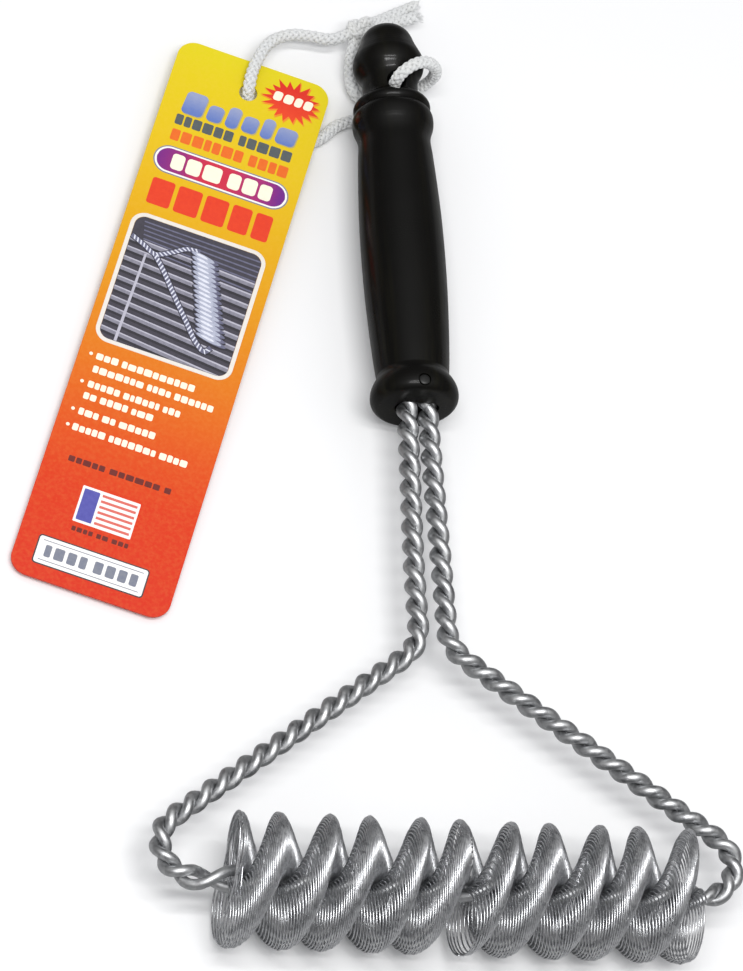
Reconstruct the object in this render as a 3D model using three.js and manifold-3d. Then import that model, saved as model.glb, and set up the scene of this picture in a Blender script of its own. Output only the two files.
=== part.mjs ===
// Grill cleaning brush: turned handle, two twisted stem wires bent to a triangle, four coil
// springs threaded on the head wires as a two-start spiral, neck cord and hang tag.
// Millimetres. X runs along the head (+ right), Y along the handle (+ toward the knob) and
// Z is square to the wire triangle. The origin is the centre of the flat end of the knob.
import * as THREE from 'three';
import { mergeVertices } from 'three/addons/utils/BufferGeometryUtils.js';
import Module from 'manifold-3d';

const { clamp, degToRad } = THREE.MathUtils;
const FULL_TURN = 2 * Math.PI;

// ---- dimensions shared between pieces ------------------------------------------
const HANDLE_LENGTH = 131.4;
const NECK_Y = -22.5;         // cord hole through the handle
const PIN_Y = -128.9;         // retaining pin in the collar
const LEG_TOP_X = 3.7;        // leg centre line inside the handle
const LEFT_LEG_SHIFT = 1.0;   // the left leg leaves the socket this much nearer the middle
const HEAD_Y = -285;          // head axis
const HEAD_PITCH = 25.95;     // length of one full twist of the head
const HEAD_PHASE = degToRad(56); // direction of wire A and springs A at x = 0, from +Y to +Z
const TAG_HOLE = [-42.0, -20.0, -9.0]; // where the cord passes through the tag

const MATERIALS = {
  handle: { color: 0x14110f, roughness: 0.18, metalness: 0.0 },
  pin: { color: 0x3a3a3a, roughness: 0.3, metalness: 0.6 },
  stemA: { color: 0xb9bcc0, roughness: 0.35, metalness: 0.9 },
  stemB: { color: 0xb2b5b9, roughness: 0.35, metalness: 0.9 },
  springA: { color: 0xa9acb0, roughness: 0.3, metalness: 0.95 },
  springB: { color: 0xadb0b4, roughness: 0.3, metalness: 0.95 },
  cord: { color: 0xf0efea, roughness: 0.8, metalness: 0.0 },
  tag: { color: 0xf29a1c, roughness: 0.35, metalness: 0.0 },
};

// ---- meshes and solids -----------------------------------------------------------
const manifold = await Module();
manifold.setup();

const group = new THREE.Group();
group.name = 'grill_cleaning_brush';

// Welds a geometry by position alone, so that it closes up.
function weld(geometry) {
  const bare = geometry.index ? geometry.toNonIndexed() : geometry.clone();
  bare.deleteAttribute('normal');
  bare.deleteAttribute('uv');
  return mergeVertices(bare, 1e-4);
}

function toSolid(geometry) {
  const welded = weld(geometry);
  return new manifold.Manifold(new manifold.Mesh({
    numProp: 3,
    vertProperties: new Float32Array(welded.attributes.position.array),
    triVerts: new Uint32Array(welded.index.array),
  }));
}

function toGeometry(solid) {
  const { numVert, numProp, vertProperties, triVerts } = solid.getMesh();
  const positions = new Float32Array(numVert * 3);
  for (let i = 0; i < numVert; i++) {
    for (let k = 0; k < 3; k++) positions[3 * i + k] = vertProperties[numProp * i + k];
  }
  const geometry = new THREE.BufferGeometry();
  geometry.setAttribute('position', new THREE.BufferAttribute(positions, 3));
  geometry.setIndex(Array.from(triVerts));
  return geometry;
}

function addMesh(name, geometry, material) {
  const welded = weld(geometry);
  welded.computeVertexNormals();
  const mesh = new THREE.Mesh(welded, new THREE.MeshStandardMaterial(material));
  mesh.name = name;
  group.add(mesh);
}

// ---- sweeps ------------------------------------------------------------------------
// Direction from the point before to the point after.
function directionAt(points, i) {
  const before = points[Math.max(0, i - 1)];
  const after = points[Math.min(points.length - 1, i + 1)];
  return after.clone().sub(before).normalize();
}

// The part of a vector square to a tangent, at unit length.
function squareTo(tangent, vector) {
  return vector.clone().addScaledVector(tangent, -vector.dot(tangent)).normalize();
}

// Extrude path with one section at each given point, turned to face its outward vector.
class FramedPath extends THREE.Curve {
  constructor(points, outward) {
    super();
    this.points = points;
    this.outward = outward;
  }

  getSpacedPoints() {
    return this.points.map((point) => point.clone());
  }

  computeFrenetFrames() {
    const normals = [];
    const binormals = [];
    const last = this.points.length - 1;
    this.points.forEach((point, i) => {
      const arriving = point.clone().sub(this.points[Math.max(0, i - 1)]);
      const leaving = this.points[Math.min(last, i + 1)].clone().sub(point);
      // each end of the path has a neighbour on one side only
      if (arriving.lengthSq() < 1e-12) arriving.copy(leaving);
      if (leaving.lengthSq() < 1e-12) leaving.copy(arriving);
      const tangent = arriving.normalize().add(leaving.normalize()).normalize();
      const normal = squareTo(tangent, this.outward[i]);
      normals.push(normal);
      binormals.push(new THREE.Vector3().crossVectors(tangent, normal));
    });
    return { normals, binormals };
  }
}

// Sweeps a regular polygon along the points.
function sweep(points, outward, sides, radius) {
  const corners = [];
  for (let i = 0; i < sides; i++) {
    const angle = (FULL_TURN * i) / sides;
    corners.push(new THREE.Vector2(radius * Math.cos(angle), radius * Math.sin(angle)));
  }
  const section = new THREE.Shape(corners);
  section.closePath();
  return new THREE.ExtrudeGeometry(section, {
    steps: points.length - 1,
    bevelEnabled: false,
    extrudePath: new FramedPath(points, outward),
  });
}

// Outward vectors carried along a path without twist.
function carryOutward(points, start) {
  let outward = start;
  return points.map((_, i) => {
    outward = squareTo(directionAt(points, i), outward);
    return outward;
  });
}

// ---- handle --------------------------------------------------------------------------
// turned profile: [radius, distance from the knob end]
const HANDLE_PROFILE = [
  [0, 0], [4.5, 0], [6.3, 1.1], [7.7, 3.3], [8.6, 6.0], [9.8, 8.9], [10.6, 10.8],
  [10.8, 12.6], [10.4, 14.8], [9.4, 16.7], [8.6, 18.3], [8.45, 20.5], [8.45, 24.2],
  [9.0, 25.3], [10.6, 26.3], [11.6, 27.4], [11.75, 28.6], [11.35, 29.9], [11.9, 31.1],
  [12.3, 33.2], [12.1, 35.6], [11.3, 37.9], [10.9, 40.4], [11.35, 46], [11.95, 57],
  [12.4, 68], [12.5, 79], [12.35, 92], [11.9, 104], [11.2, 115.5], [10.75, 121.3],
  [11.2, 122.8], [12.2, 124.4], [12.9, 126.2], [13.1, 128], [12.8, 129.6], [11.9, 130.8],
  [10.6, HANDLE_LENGTH], [0, HANDLE_LENGTH],
];
const NECK_HOLE = { radius: 2.7, length: 30 };
const SOCKET = { radius: 3.5, floor: 107.6, overrun: 2 }; // floor from knob end, overrun past handle
const PIN_SEAT = { radius: 1.9, height: 4, floorZ: 12.2 };
const PIN_HOLE = { radius: 1.0, height: 12, centreZ: 9.2 };

function cylinderAlongY(radius, length, x, y) {
  const geometry = new THREE.CylinderGeometry(radius, radius, length, 20);
  geometry.translate(x, y, 0);
  return toSolid(geometry);
}

function cylinderAlongZ(radius, height, segments, y, z) {
  const geometry = new THREE.CylinderGeometry(radius, radius, height, segments);
  geometry.rotateX(Math.PI / 2);
  geometry.translate(0, y, z);
  return toSolid(geometry);
}

// One slot-shaped socket takes both legs.
function legSocket() {
  const { radius, floor, overrun } = SOCKET;
  const depth = HANDLE_LENGTH - floor + overrun;
  const middleY = -(floor + HANDLE_LENGTH + overrun) / 2;
  const between = new THREE.BoxGeometry(2 * LEG_TOP_X - LEFT_LEG_SHIFT, depth, 2 * radius);
  between.translate(LEFT_LEG_SHIFT / 2, middleY, 0);
  return cylinderAlongY(radius, depth, LEFT_LEG_SHIFT - LEG_TOP_X, middleY)
    .add(cylinderAlongY(radius, depth, LEG_TOP_X, middleY))
    .add(toSolid(between));
}

// The pin's hole in the collar, with its shallow seat.
function pinHole() {
  const { radius, height, floorZ } = PIN_SEAT;
  return cylinderAlongZ(radius, height, 20, PIN_Y, floorZ + height / 2)
    .add(cylinderAlongZ(PIN_HOLE.radius, PIN_HOLE.height, 12, PIN_Y, PIN_HOLE.centreZ));
}

function handle() {
  // reversed so that the faces point outward with y negated
  const outline = HANDLE_PROFILE.map(([radius, y]) => new THREE.Vector2(radius, -y)).reverse();
  const body = toSolid(new THREE.LatheGeometry(outline, 26))
    .subtract(cylinderAlongZ(NECK_HOLE.radius, NECK_HOLE.length, 20, NECK_Y, 0))
    .subtract(legSocket())
    .subtract(pinHole());
  return toGeometry(body);
}
addMesh('handle', handle(), MATERIALS.handle);

// ---- retaining pin ---------------------------------------------------------------------
// brad from its tip to the top of its head: [radius, z]
const PIN_PROFILE = [
  [0, 3.8], [0.22, 3.8], [0.72, 5.6], [0.72, 12.45],
  [1.6, 12.45], [1.6, 12.95], [1.2, 13.1], [0, 13.15],
];

function retainingPin() {
  const outline = PIN_PROFILE.map(([radius, z]) => new THREE.Vector2(radius, z));
  const geometry = new THREE.LatheGeometry(outline, 16);
  geometry.rotateX(Math.PI / 2);
  geometry.translate(0, PIN_Y, 0);
  return geometry;
}
addMesh('retaining_pin', retainingPin(), MATERIALS.pin);

// ---- stem wires --------------------------------------------------------------------------
const STEM_WIRE_D = 3.1;
const LEG_STRAND_R = 1.62;     // wire centre to strand centre in the legs
const HEAD_STRAND_R = 2.45;    // the same in the head, where the wires grip the spring turns
const LEG_PITCH = 12.9;        // length of one full twist in the legs
const LEG_END_Y = -109.5;      // legs end here, inside the handle
const LEG_LOW_X = 4.3;         // leg centre line at the bend
const BEND = { y: -203.4, radius: 13.2, angle: degToRad(52.1) };
const CORNER = { x: 82.9, radius: 10.2 }; // x is the outermost reach of the centre line
const CORNER_CENTRE_X = CORNER.x - CORNER.radius;
const LEFT_SHIFT_FADE = { startY: -128, length: 34 }; // the left leg's shift dies out here
const HEAD_FADE = { startX: 69.5, length: 9.5, height: 6 }; // head twist turns to leg twist
const OUTLINE_STEPS = { leg: 60, bend: 24, slope: 60, corner: 40, head: 120 };
const SAMPLE_STEP = 0.25;

function smoothStep(value) {
  const t = clamp(value, 0, 1);
  return t * t * (3 - 2 * t);
}

// Strand centre line of the right half as [x, y], from inside the handle to the head axis.
function rightHalf() {
  const line = [];
  for (let i = 0; i <= OUTLINE_STEPS.leg; i++) {
    const y = LEG_END_Y + (BEND.y - LEG_END_Y) * (i / OUTLINE_STEPS.leg);
    const spread = smoothStep((-HANDLE_LENGTH - y) / (-HANDLE_LENGTH - BEND.y));
    line.push([LEG_TOP_X + (LEG_LOW_X - LEG_TOP_X) * spread, y]);
  }
  for (let i = 1; i <= OUTLINE_STEPS.bend; i++) {
    const angle = (BEND.angle * i) / OUTLINE_STEPS.bend;
    line.push([
      LEG_LOW_X + BEND.radius * (1 - Math.cos(angle)),
      BEND.y - BEND.radius * Math.sin(angle),
    ]);
  }
  const cornerPoint = (angle) => [
    CORNER_CENTRE_X + CORNER.radius * Math.cos(angle),
    HEAD_Y + CORNER.radius + CORNER.radius * Math.sin(angle),
  ];
  const [startX, startY] = line[line.length - 1];
  const [endX, endY] = cornerPoint(BEND.angle);
  for (let i = 1; i <= OUTLINE_STEPS.slope; i++) {
    const t = i / OUTLINE_STEPS.slope;
    line.push([startX + (endX - startX) * t, startY + (endY - startY) * t]);
  }
  for (let i = 1; i <= OUTLINE_STEPS.corner; i++) {
    const t = i / OUTLINE_STEPS.corner;
    line.push(cornerPoint(BEND.angle + (-Math.PI / 2 - BEND.angle) * t));
  }
  return line;
}

// Down the left leg, along the head and up the right leg.
function stemOutline() {
  const right = rightHalf();
  const outline = right.map(([x, y]) => {
    const fade = smoothStep((LEFT_SHIFT_FADE.startY - y) / LEFT_SHIFT_FADE.length);
    return [LEFT_LEG_SHIFT * (1 - fade) - x, y];
  });
  for (let i = 1; i < OUTLINE_STEPS.head; i++) {
    const x = -CORNER_CENTRE_X + (2 * CORNER_CENTRE_X * i) / OUTLINE_STEPS.head;
    outline.push([x, HEAD_Y]);
  }
  return outline.concat(right.reverse());
}

function evenSamples(outline) {
  const samples = [];
  let distance = 0;
  for (let i = 0; i < outline.length - 1; i++) {
    const [x, y] = outline[i];
    const [nextX, nextY] = outline[i + 1];
    const length = Math.hypot(nextX - x, nextY - y);
    for (; distance < length; distance += SAMPLE_STEP) {
      const t = distance / length;
      samples.push(new THREE.Vector3(x + (nextX - x) * t, y + (nextY - y) * t, 0));
    }
    distance -= length;
  }
  return samples;
}

// 1 inside the head, 0 in the legs
function headShare({ x, y }) {
  if (y > HEAD_Y + HEAD_FADE.height) return 0;
  return 1 - smoothStep((Math.abs(x) - HEAD_FADE.startX) / HEAD_FADE.length);
}

function headPhase(x) {
  return HEAD_PHASE - (FULL_TURN * x) / HEAD_PITCH;
}

// Twist angle at each sample, worked outward from the middle of the head.
function twistPhases(samples) {
  const headMiddle = new THREE.Vector3(0, HEAD_Y, 0);
  const distances = samples.map((sample) => sample.distanceTo(headMiddle));
  let middle = 0;
  distances.forEach((distance, i) => {
    if (distance < distances[middle]) middle = i;
  });
  const phaseStep = (i) => {
    const pitch = LEG_PITCH + (HEAD_PITCH - LEG_PITCH) * headShare(samples[i]);
    return (FULL_TURN * SAMPLE_STEP) / pitch;
  };
  const phases = new Array(samples.length);
  phases[middle] = headPhase(samples[middle].x);
  for (let i = middle + 1; i < samples.length; i++) phases[i] = phases[i - 1] - phaseStep(i);
  for (let i = middle - 1; i >= 0; i--) phases[i] = phases[i + 1] + phaseStep(i);
  return phases;
}

const stemSamples = evenSamples(stemOutline());
const stemPhases = twistPhases(stemSamples);

// Sections are spaced by twist angle: 7 to a turn in the legs, 8 in the head.
function stemWire(phaseOffset) {
  const points = [];
  const outward = [];
  const last = stemSamples.length - 1;
  let lastPhase = Infinity;
  stemSamples.forEach((sample, i) => {
    const share = headShare(sample);
    const sectionStep = FULL_TURN / (7 + share);
    const turned = Math.abs(stemPhases[i] - lastPhase);
    // the last sample is left out when it would crowd the section before it
    if (turned < (i === last ? sectionStep * 0.4 : sectionStep - 1e-6)) return;
    const tangent = directionAt(stemSamples, i);
    const phase = stemPhases[i] + phaseOffset;
    const out = new THREE.Vector3(-tangent.y, tangent.x, 0).multiplyScalar(Math.cos(phase));
    out.z = Math.sin(phase);
    const radius = LEG_STRAND_R + (HEAD_STRAND_R - LEG_STRAND_R) * share;
    points.push(sample.clone().addScaledVector(out, radius));
    outward.push(out);
    lastPhase = stemPhases[i];
  });
  return sweep(points, outward, 5, STEM_WIRE_D / 2);
}
addMesh('stem_wire_a', stemWire(0), MATERIALS.stemA);
addMesh('stem_wire_b', stemWire(Math.PI), MATERIALS.stemB);

// ---- head springs --------------------------------------------------------------------------
const SPRING_WIRE_R = 0.36;
const SPRING_REACH = 19.2;   // head axis to the outermost point of a spring turn
// One turn in its own plane: [out from the head axis on its own wire's side, across].
// The inner strand passes between the two head wires, the rest goes round its own wire.
const SPRING_TURN = [
  [18.7, 4.1], [12.9, 9.0], [4.6, 8.1], [0.45, 2.2],
  [0.45, -2.2], [4.6, -8.1], [12.9, -9.0], [18.7, -4.1],
];
// lean: shift along X of a turn at full reach
const SPRING_A = { offset: 0, lean: -0.95, material: MATERIALS.springA };
const SPRING_B = { offset: Math.PI, lean: 0.95, material: MATERIALS.springB };
const SPRINGS = [
  { name: 'coil_spring_a_left', startX: -64.6, endX: 1.0, turns: 60, start: SPRING_A },
  { name: 'coil_spring_b_left', startX: -64.6, endX: -4.5, turns: 55, start: SPRING_B },
  { name: 'coil_spring_a_right', startX: 1.9, endX: 70.0, turns: 62, start: SPRING_A },
  { name: 'coil_spring_b_right', startX: -0.8, endX: 70.0, turns: 64, start: SPRING_B },
];

function spring({ startX, endX, turns, start }) {
  const count = SPRING_TURN.length;
  const travelled = [0];
  SPRING_TURN.forEach(([out, across], i) => {
    const [nextOut, nextAcross] = SPRING_TURN[(i + 1) % count];
    travelled.push(travelled[i] + Math.hypot(nextOut - out, nextAcross - across));
  });
  const points = [];
  for (let k = 0; k <= turns * count; k++) {
    const corner = k % count;
    const turn = Math.floor(k / count) + travelled[corner] / travelled[count];
    const x = startX + ((endX - startX) * turn) / turns;
    const [out, across] = SPRING_TURN[corner];
    const angle = headPhase(x) + start.offset;
    points.push(new THREE.Vector3(
      x + (start.lean * out) / SPRING_REACH,
      HEAD_Y + out * Math.cos(angle) - across * Math.sin(angle),
      out * Math.sin(angle) + across * Math.cos(angle),
    ));
  }
  const outward = points.map(() => new THREE.Vector3(1, 0, 0));
  return sweep(points, outward, 3, SPRING_WIRE_R);
}
for (const item of SPRINGS) addMesh(item.name, spring(item), item.start.material);

// ---- cord ------------------------------------------------------------------------------------
const CORD_R = 1.8;
const KNOT = [-6.9, 4.7, -6.0];
const KNOT_RADII = [4.8, 4.3, 3.8];
const KNOT_SHIFT = [0.7, -0.5, 0.2];   // knot body from the point where the cords meet
// [x, y, z] from the knot through the tag hole, up through the neck and back to the knot
const CORD_LOOP = [
  KNOT, [-11.2, 1.6, -6.0], [-16, -0.3, -6.0], [-22, 0.3, -6.0], [-28.6, 0.1, -5.9],
  [-34.8, -3.1, -5.8], [-39.0, -9.6, -5.6], [-41.3, -15.2, -5.7], [-42.0, -18.7, -6.8],
  TAG_HOLE, [-41.7, -21.1, -11.2], [-40.2, -24.0, -12.3], [-36, -29.4, -12.5],
  [-30.5, -33.4, -12.5], [-24.6, -34.5, -12.5], [-19.2, -31.8, -12.6],
  [-14.3, -27.2, -12.9], [-9.1, -24.5, -13.2], [-4.2, -22.9, -12.9],
  [-1.1, NECK_Y, -11.4], [0, NECK_Y, -8.6], [0, NECK_Y, 0], [0, NECK_Y, 8.6],
  [0.7, -22.1, 11.0], [2.9, -20.6, 12.4], [5.8, -18.7, 12.3], [8.8, -17.2, 10.8],
  [12.0, -16.0, 7.4], [14.1, -15.0, 2.8], [14.5, -14.0, -1.6], [13.2, -13.4, -5.6],
  [10.4, -14.0, -9.0], [6, -15.9, -11.6], [0.4, -17.3, -12.5], [-4.6, -17.6, -12.3],
  [-7.9, -16.0, -11.2], [-9.3, -10.6, -10.5], [-8.9, -4, -9.3], [-7.7, 1.2, -7.6], KNOT,
];
const CORD_END_A = [
  KNOT, [-3.4, 7.0, -6.9], [2.4, 10.3, -7.8], [8, 13.6, -8.0], [12.7, 16.1, -8.0],
];
const CORD_END_B = [
  KNOT, [-2.8, 6.6, -8.0], [2.8, 8.3, -8.2], [8.0, 10.0, -8.0], [12.0, 11.3, -7.6],
];

function cordPiece(stations, divisions) {
  const curve = new THREE.CatmullRomCurve3(stations.map((at) => new THREE.Vector3(...at)));
  const points = curve.getSpacedPoints(divisions);
  const outward = carryOutward(points, new THREE.Vector3(0.2, 0.3, 1).normalize());
  return toSolid(sweep(points, outward, 5, CORD_R));
}

function hangCord() {
  const knot = new THREE.SphereGeometry(1, 12, 8);
  knot.scale(...KNOT_RADII);
  knot.translate(...KNOT.map((value, i) => value + KNOT_SHIFT[i]));
  return toGeometry(cordPiece(CORD_LOOP, 92)
    .add(cordPiece(CORD_END_A, 7))
    .add(cordPiece(CORD_END_B, 6))
    .add(toSolid(knot)));
}
addMesh('hang_cord', hangCord(), MATERIALS.cord);

// ---- hang tag ----------------------------------------------------------------------------------
const TAG = {
  width: 48, length: 190, thickness: 0.6, cornerRadius: 5.5,
  holeRadius: 2.8, holeFromTop: 10.9,
  pitch: degToRad(2.3),   // drops the lower end toward -Z
  swing: degToRad(18),    // swings the lower end toward -X
};

// Drawn about its hole, then hung on the cord.
function hangTag() {
  const radius = TAG.cornerRadius;
  const side = TAG.width / 2;
  const top = TAG.holeFromTop;
  const bottom = top - TAG.length;
  const quarter = Math.PI / 2;
  const outline = new THREE.Shape();
  outline.moveTo(-side + radius, bottom);
  outline.lineTo(side - radius, bottom);
  outline.absarc(side - radius, bottom + radius, radius, -quarter, 0, false);
  outline.lineTo(side, top - radius);
  outline.absarc(side - radius, top - radius, radius, 0, quarter, false);
  outline.lineTo(-side + radius, top);
  outline.absarc(-side + radius, top - radius, radius, quarter, Math.PI, false);
  outline.lineTo(-side, bottom + radius);
  outline.absarc(-side + radius, bottom + radius, radius, Math.PI, 3 * quarter, false);
  outline.holes.push(new THREE.Path().absarc(0, 0, TAG.holeRadius, 0, FULL_TURN, true));
  const geometry = new THREE.ExtrudeGeometry(outline, {
    depth: TAG.thickness,
    bevelEnabled: false,
    curveSegments: 8,
  });
  geometry.translate(0, 0, -TAG.thickness / 2);
  geometry.rotateX(TAG.pitch);
  geometry.rotateZ(-TAG.swing);
  geometry.translate(...TAG_HOLE);
  return geometry;
}
addMesh('hang_tag', hangTag(), MATERIALS.tag);

export default group;
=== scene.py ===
# A wire brush: a black turned handle, two wires twisted together and bent into a triangular
# frame, coil springs round its far bar (the head), a braided hanging cord and a printed tag.
# Sizes are millimetres in the brush's frame: X along the head, Y along the handle with the
# knob's end at 0 and the head at -285, Z up. Shape.mesh() turns them into metres.
import math

import bmesh
import bpy
import numpy as np
from mathutils import Matrix, Vector


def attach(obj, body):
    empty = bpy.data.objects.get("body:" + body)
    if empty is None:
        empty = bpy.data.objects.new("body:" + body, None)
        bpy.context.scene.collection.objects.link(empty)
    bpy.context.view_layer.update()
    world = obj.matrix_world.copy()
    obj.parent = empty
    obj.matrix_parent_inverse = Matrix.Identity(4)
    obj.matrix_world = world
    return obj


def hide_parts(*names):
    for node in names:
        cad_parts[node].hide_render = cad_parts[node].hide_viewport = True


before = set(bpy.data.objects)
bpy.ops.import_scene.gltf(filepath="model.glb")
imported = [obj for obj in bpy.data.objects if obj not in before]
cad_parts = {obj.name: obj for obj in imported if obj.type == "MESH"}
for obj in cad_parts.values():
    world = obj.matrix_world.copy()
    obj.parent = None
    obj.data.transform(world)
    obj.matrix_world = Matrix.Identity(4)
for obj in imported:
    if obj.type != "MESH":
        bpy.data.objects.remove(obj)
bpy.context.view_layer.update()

MM = 0.001
HEAD_Y = -285.0
HANDLE_LENGTH = 131.4
CORD_HOLE_Y = -22.5            # cross hole through the handle's neck
TAG_HOLE = (-42.0, -20.0, -9.0)

# The tag in its own frame: the hole's centre is the origin, +Y its top edge, +Z its face.
TAG_TOP, TAG_BOTTOM, TAG_HALF_WIDTH = 10.9, -179.1, 24.0
TAG_CORNER, TAG_HOLE_RADIUS = 5.5, 2.8
CARD_HALF_THICKNESS, CARD_BEVEL = 0.30, 0.03
TAG_PLACE = (Matrix.Translation(Vector(TAG_HOLE) * MM)
             @ Matrix.Rotation(math.radians(-18), 4, "Z")
             @ Matrix.Rotation(math.radians(2.3), 4, "X"))


# ------------------------------------------------------------------ colour and nodes
MIDDLE = (0.3, 0.7)            # the range most noise values fall in


def srgb(*channels):
    """Linear RGBA from 0-255 sRGB channels."""
    linear = []
    for c in channels:
        c = c / 255.0
        linear.append(c / 12.92 if c <= 0.04045 else ((c + 0.055) / 1.055) ** 2.4)
    return (*linear, 1.0)


def grey(value):
    return (value, value, value, 1.0)


class Nodes:
    """A node tree with one surface node wired to its output, and short ways to add nodes."""

    def __init__(self, owner, output, surface):
        owner.use_nodes = True
        self.tree = owner.node_tree
        self.tree.nodes.clear()
        end = self.node(output)
        self.surface = self.node(surface)
        self.tree.links.new(self.surface.outputs[0], end.inputs[0])

    def put(self, value, socket):
        if isinstance(value, bpy.types.NodeSocket):
            self.tree.links.new(value, socket)
        else:
            socket.default_value = value

    def node(self, kind, inputs=None, **props):
        node = self.tree.nodes.new(kind)
        for key, value in props.items():
            setattr(node, key, value)
        for key, value in (inputs or {}).items():
            self.put(value, node.inputs[key])
        return node

    def set(self, **inputs):
        """Sets the surface node's inputs; underscores stand for spaces."""
        for key, value in inputs.items():
            self.put(value, self.surface.inputs[key.replace("_", " ")])

    def coords(self, source="Object", stretch=(1, 1, 1)):
        texture = self.node("ShaderNodeTexCoord").outputs[source]
        return self.node("ShaderNodeMapping", {"Vector": texture, "Scale": stretch}).outputs[0]

    def position(self, axis):
        texture = self.node("ShaderNodeTexCoord").outputs["Object"]
        return self.node("ShaderNodeSeparateXYZ", {"Vector": texture}).outputs[axis]

    def glossy_ray(self):
        return self.node("ShaderNodeLightPath").outputs["Is Glossy Ray"]

    def noise(self, scale, detail, rough, distortion=0.0, **coords):
        return self.node("ShaderNodeTexNoise", {
            "Vector": self.coords(**coords), "Scale": scale, "Detail": detail,
            "Roughness": rough, "Distortion": distortion}).outputs["Fac"]

    def waves(self, scale, distortion, detail, detail_scale, **coords):
        return self.node("ShaderNodeTexWave", {
            "Vector": self.coords(**coords), "Scale": scale, "Distortion": distortion,
            "Detail": detail, "Detail Scale": detail_scale},
            wave_type="BANDS", bands_direction="Y").outputs["Fac"]

    def ramp(self, value, stops):
        node = self.node("ShaderNodeValToRGB", {"Fac": value})
        elements = node.color_ramp.elements
        while len(elements) > 1:
            elements.remove(elements[-1])
        elements[0].position, elements[0].color = stops[0]
        for position, colour in stops[1:]:
            elements.new(position).color = colour
        return node.outputs["Color"]

    def span(self, value, to, within=(0.0, 1.0)):
        """Maps the range `within` onto the range `to`."""
        return self.node("ShaderNodeMapRange", {
            "Value": value, "From Min": within[0], "From Max": within[1],
            "To Min": to[0], "To Max": to[1]}).outputs["Result"]

    def math(self, operation, first, second):
        return self.node("ShaderNodeMath", {0: first, 1: second}, operation=operation).outputs[0]

    def weighted(self, *pairs):
        """The sum of two (value, weight) pairs."""
        return self.math("ADD", *(self.math("MULTIPLY", *pair) for pair in pairs))

    def mix(self, factor, first, second):
        return self.node("ShaderNodeMix", {0: factor, 6: first, 7: second},
                         data_type="RGBA").outputs[2]

    def bump(self, height, distance, strength, **normal):
        return self.node("ShaderNodeBump", {
            "Height": height, "Distance": distance, "Strength": strength,
            **normal}).outputs[0]


class Material(Nodes):
    def __init__(self, name, flat):
        self.data = bpy.data.materials.new(name)
        self.data.diffuse_color = flat
        super().__init__(self.data, "ShaderNodeOutputMaterial", "ShaderNodeBsdfPrincipled")
        self.set(Base_Color=flat)


# ------------------------------------------------------------------ mesh helpers
def add_object(name, data):
    ob = bpy.data.objects.new(name, data)
    bpy.context.scene.collection.objects.link(ob)
    return ob


def piece(name, mesh, body, replaced=None, place=None):
    ob = add_object(name, mesh)
    if place is not None:
        ob.matrix_world = place
    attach(ob, body)
    if replaced:
        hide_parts(replaced)


def turn_outward(mesh):
    bm = bmesh.new()
    bm.from_mesh(mesh)
    bmesh.ops.recalc_face_normals(bm, faces=bm.faces)
    bm.to_mesh(mesh)
    bm.free()


class Shape:
    """Gathers vertices, faces of any size, corner texture coordinates and material slots."""

    def __init__(self):
        self.vertices, self.faces, self.uvs, self.slots = [], [], [], []
        self.count = 0

    def add(self, vertices, face_groups, uv_groups=None, slot=0):
        """Each face group is an array of faces with the same number of corners."""
        for i, faces in enumerate(face_groups):
            faces = np.asarray(faces, int)
            self.faces.append(faces + self.count)
            self.uvs.append(np.zeros(faces.shape + (2,)) if uv_groups is None else uv_groups[i])
            self.slots.append(np.full(len(faces), slot, int))
        self.vertices.append(np.asarray(vertices, float))
        self.count += len(vertices)

    def mesh(self, name, materials, sharp=None, solid=True):
        """A solid is smooth with its faces turned outward; otherwise flat, wound as given.
        Edges sharper than `sharp` degrees stay crisp."""
        mesh = bpy.data.meshes.new(name)
        places = np.concatenate(self.vertices) * MM
        loops = np.concatenate([f.ravel() for f in self.faces])
        sizes = np.concatenate([np.full(len(f), f.shape[1]) for f in self.faces])
        starts = np.concatenate([[0], np.cumsum(sizes)[:-1]])
        mesh.vertices.add(len(places))
        mesh.vertices.foreach_set("co", places.astype(np.float32).ravel())
        mesh.loops.add(len(loops))
        mesh.loops.foreach_set("vertex_index", loops.astype(np.int32))
        mesh.polygons.add(len(sizes))
        mesh.polygons.foreach_set("loop_start", starts.astype(np.int32))
        mesh.update(calc_edges=True)
        uvs = np.concatenate([u.reshape(-1, 2) for u in self.uvs])
        layer = mesh.uv_layers.new(name="UVMap")
        layer.data.foreach_set("uv", uvs.astype(np.float32).ravel())
        mesh.polygons.foreach_set("material_index", np.concatenate(self.slots).astype(np.int32))
        mesh.polygons.foreach_set("use_smooth", np.full(len(sizes), solid))
        mesh.validate()
        if sharp is not None:
            mesh.set_sharp_from_angle(angle=math.radians(sharp))
        for material in materials:
            mesh.materials.append(material.data)
        mesh.update()
        if solid:
            turn_outward(mesh)
        return mesh


def unit(a):
    return a / np.maximum(np.linalg.norm(a, axis=-1, keepdims=True), 1e-12)


def arc_length(path):
    return np.concatenate([[0], np.cumsum(np.linalg.norm(np.diff(path, axis=0), axis=1))])


def tangents(path):
    return unit(np.gradient(path, axis=0))


def carried(path, start):
    """A pair of normals carried along a path without twist, by double reflection."""
    along = tangents(path)
    normals = np.zeros_like(path)
    first = np.asarray(start, float)
    first = first - along[0] * (first @ along[0])
    normals[0] = first / np.linalg.norm(first)
    for i in range(len(path) - 1):
        step = path[i + 1] - path[i]
        square = step @ step
        if square < 1e-18:
            normals[i + 1] = normals[i]
            continue
        normal = normals[i] - (2 / square) * (step @ normals[i]) * step
        tangent = along[i] - (2 / square) * (step @ along[i]) * step
        gap = along[i + 1] - tangent
        square = gap @ gap
        if square > 1e-18:
            normal = normal - (2 / square) * (gap @ normal) * gap
        normals[i + 1] = normal
    return normals, np.cross(along, normals)


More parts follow.
